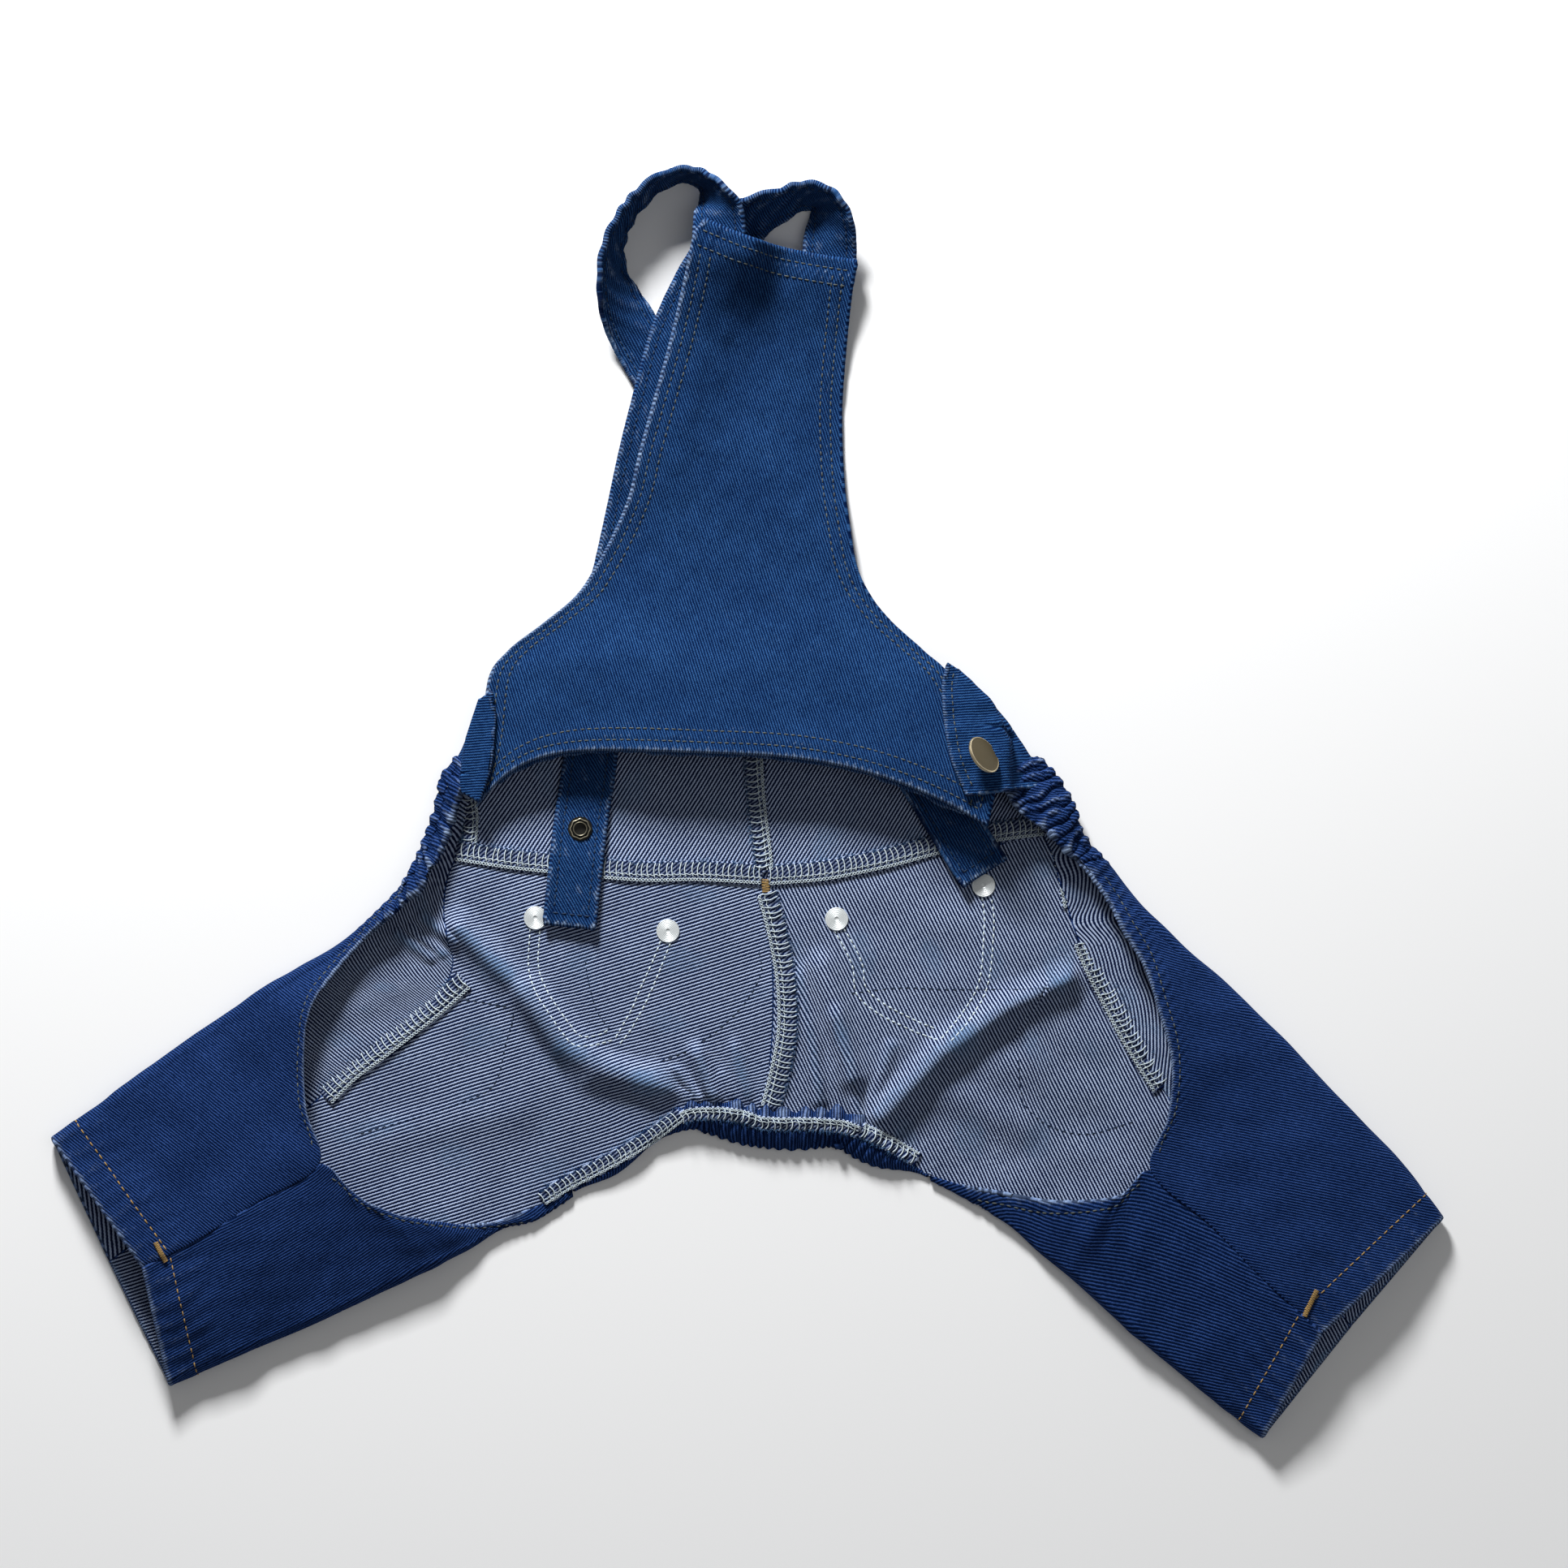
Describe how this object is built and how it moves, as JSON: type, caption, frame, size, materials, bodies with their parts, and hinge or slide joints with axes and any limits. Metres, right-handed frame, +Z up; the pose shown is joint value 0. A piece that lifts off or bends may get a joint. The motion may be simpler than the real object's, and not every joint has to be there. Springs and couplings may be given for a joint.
{
  "type": "dog overalls",
  "caption": "Denim pet overalls laid open: bib with looped shoulder straps, trouser legs with a gathered crotch, pockets, rivets and a brass snap.",
  "frame": {"origin": "middle of the garment's box, on the surface that it lies on", "axes": "+Z up from the surface, +Y from the legs to the shoulder straps, +X to the right as one looks down on the belly side"},
  "size_m": [0.4756, 0.4358, 0.0294],
  "materials": {
    "denim_outer": "washed blue denim twill",
    "denim_inner": "pale reverse of the denim twill",
    "overlock_thread": "pale overlock thread over a denim edge",
    "snap_brass": "antique brass, satin",
    "dark_metal": "dark gunmetal, satin",
    "rivet_aluminium": "bright aluminium"
  },
  "bodies": {
    "root": {"bib": "denim_outer", "strap_left": "denim_outer", "strap_right": "denim_outer", "strap_stud_right": "dark_metal", "yoke_left": "denim_inner", "yoke_right": "denim_inner", "seat_left": "denim_inner", "seat_right": "denim_inner", "front_left": "denim_outer", "front_right": "denim_outer", "side_casing_left": "denim_outer", "side_casing_right": "denim_outer", "crotch_casing": "denim_outer", "side_tab_left": "denim_outer", "side_tab_right": "denim_outer", "snap_cap_right": "snap_brass", "pocket_left": "denim_outer", "pocket_right": "denim_outer", "rivet_1": "rivet_aluminium", "rivet_2": "rivet_aluminium", "rivet_3": "rivet_aluminium", "rivet_4": "rivet_aluminium", "overlock_centre_upper": "overlock_thread", "overlock_centre_lower": "overlock_thread", "overlock_yoke_left": "overlock_thread", "overlock_yoke_right": "overlock_thread", "overlock_side_left": "overlock_thread", "overlock_side_right": "overlock_thread"}
  },
  "joints": []
}
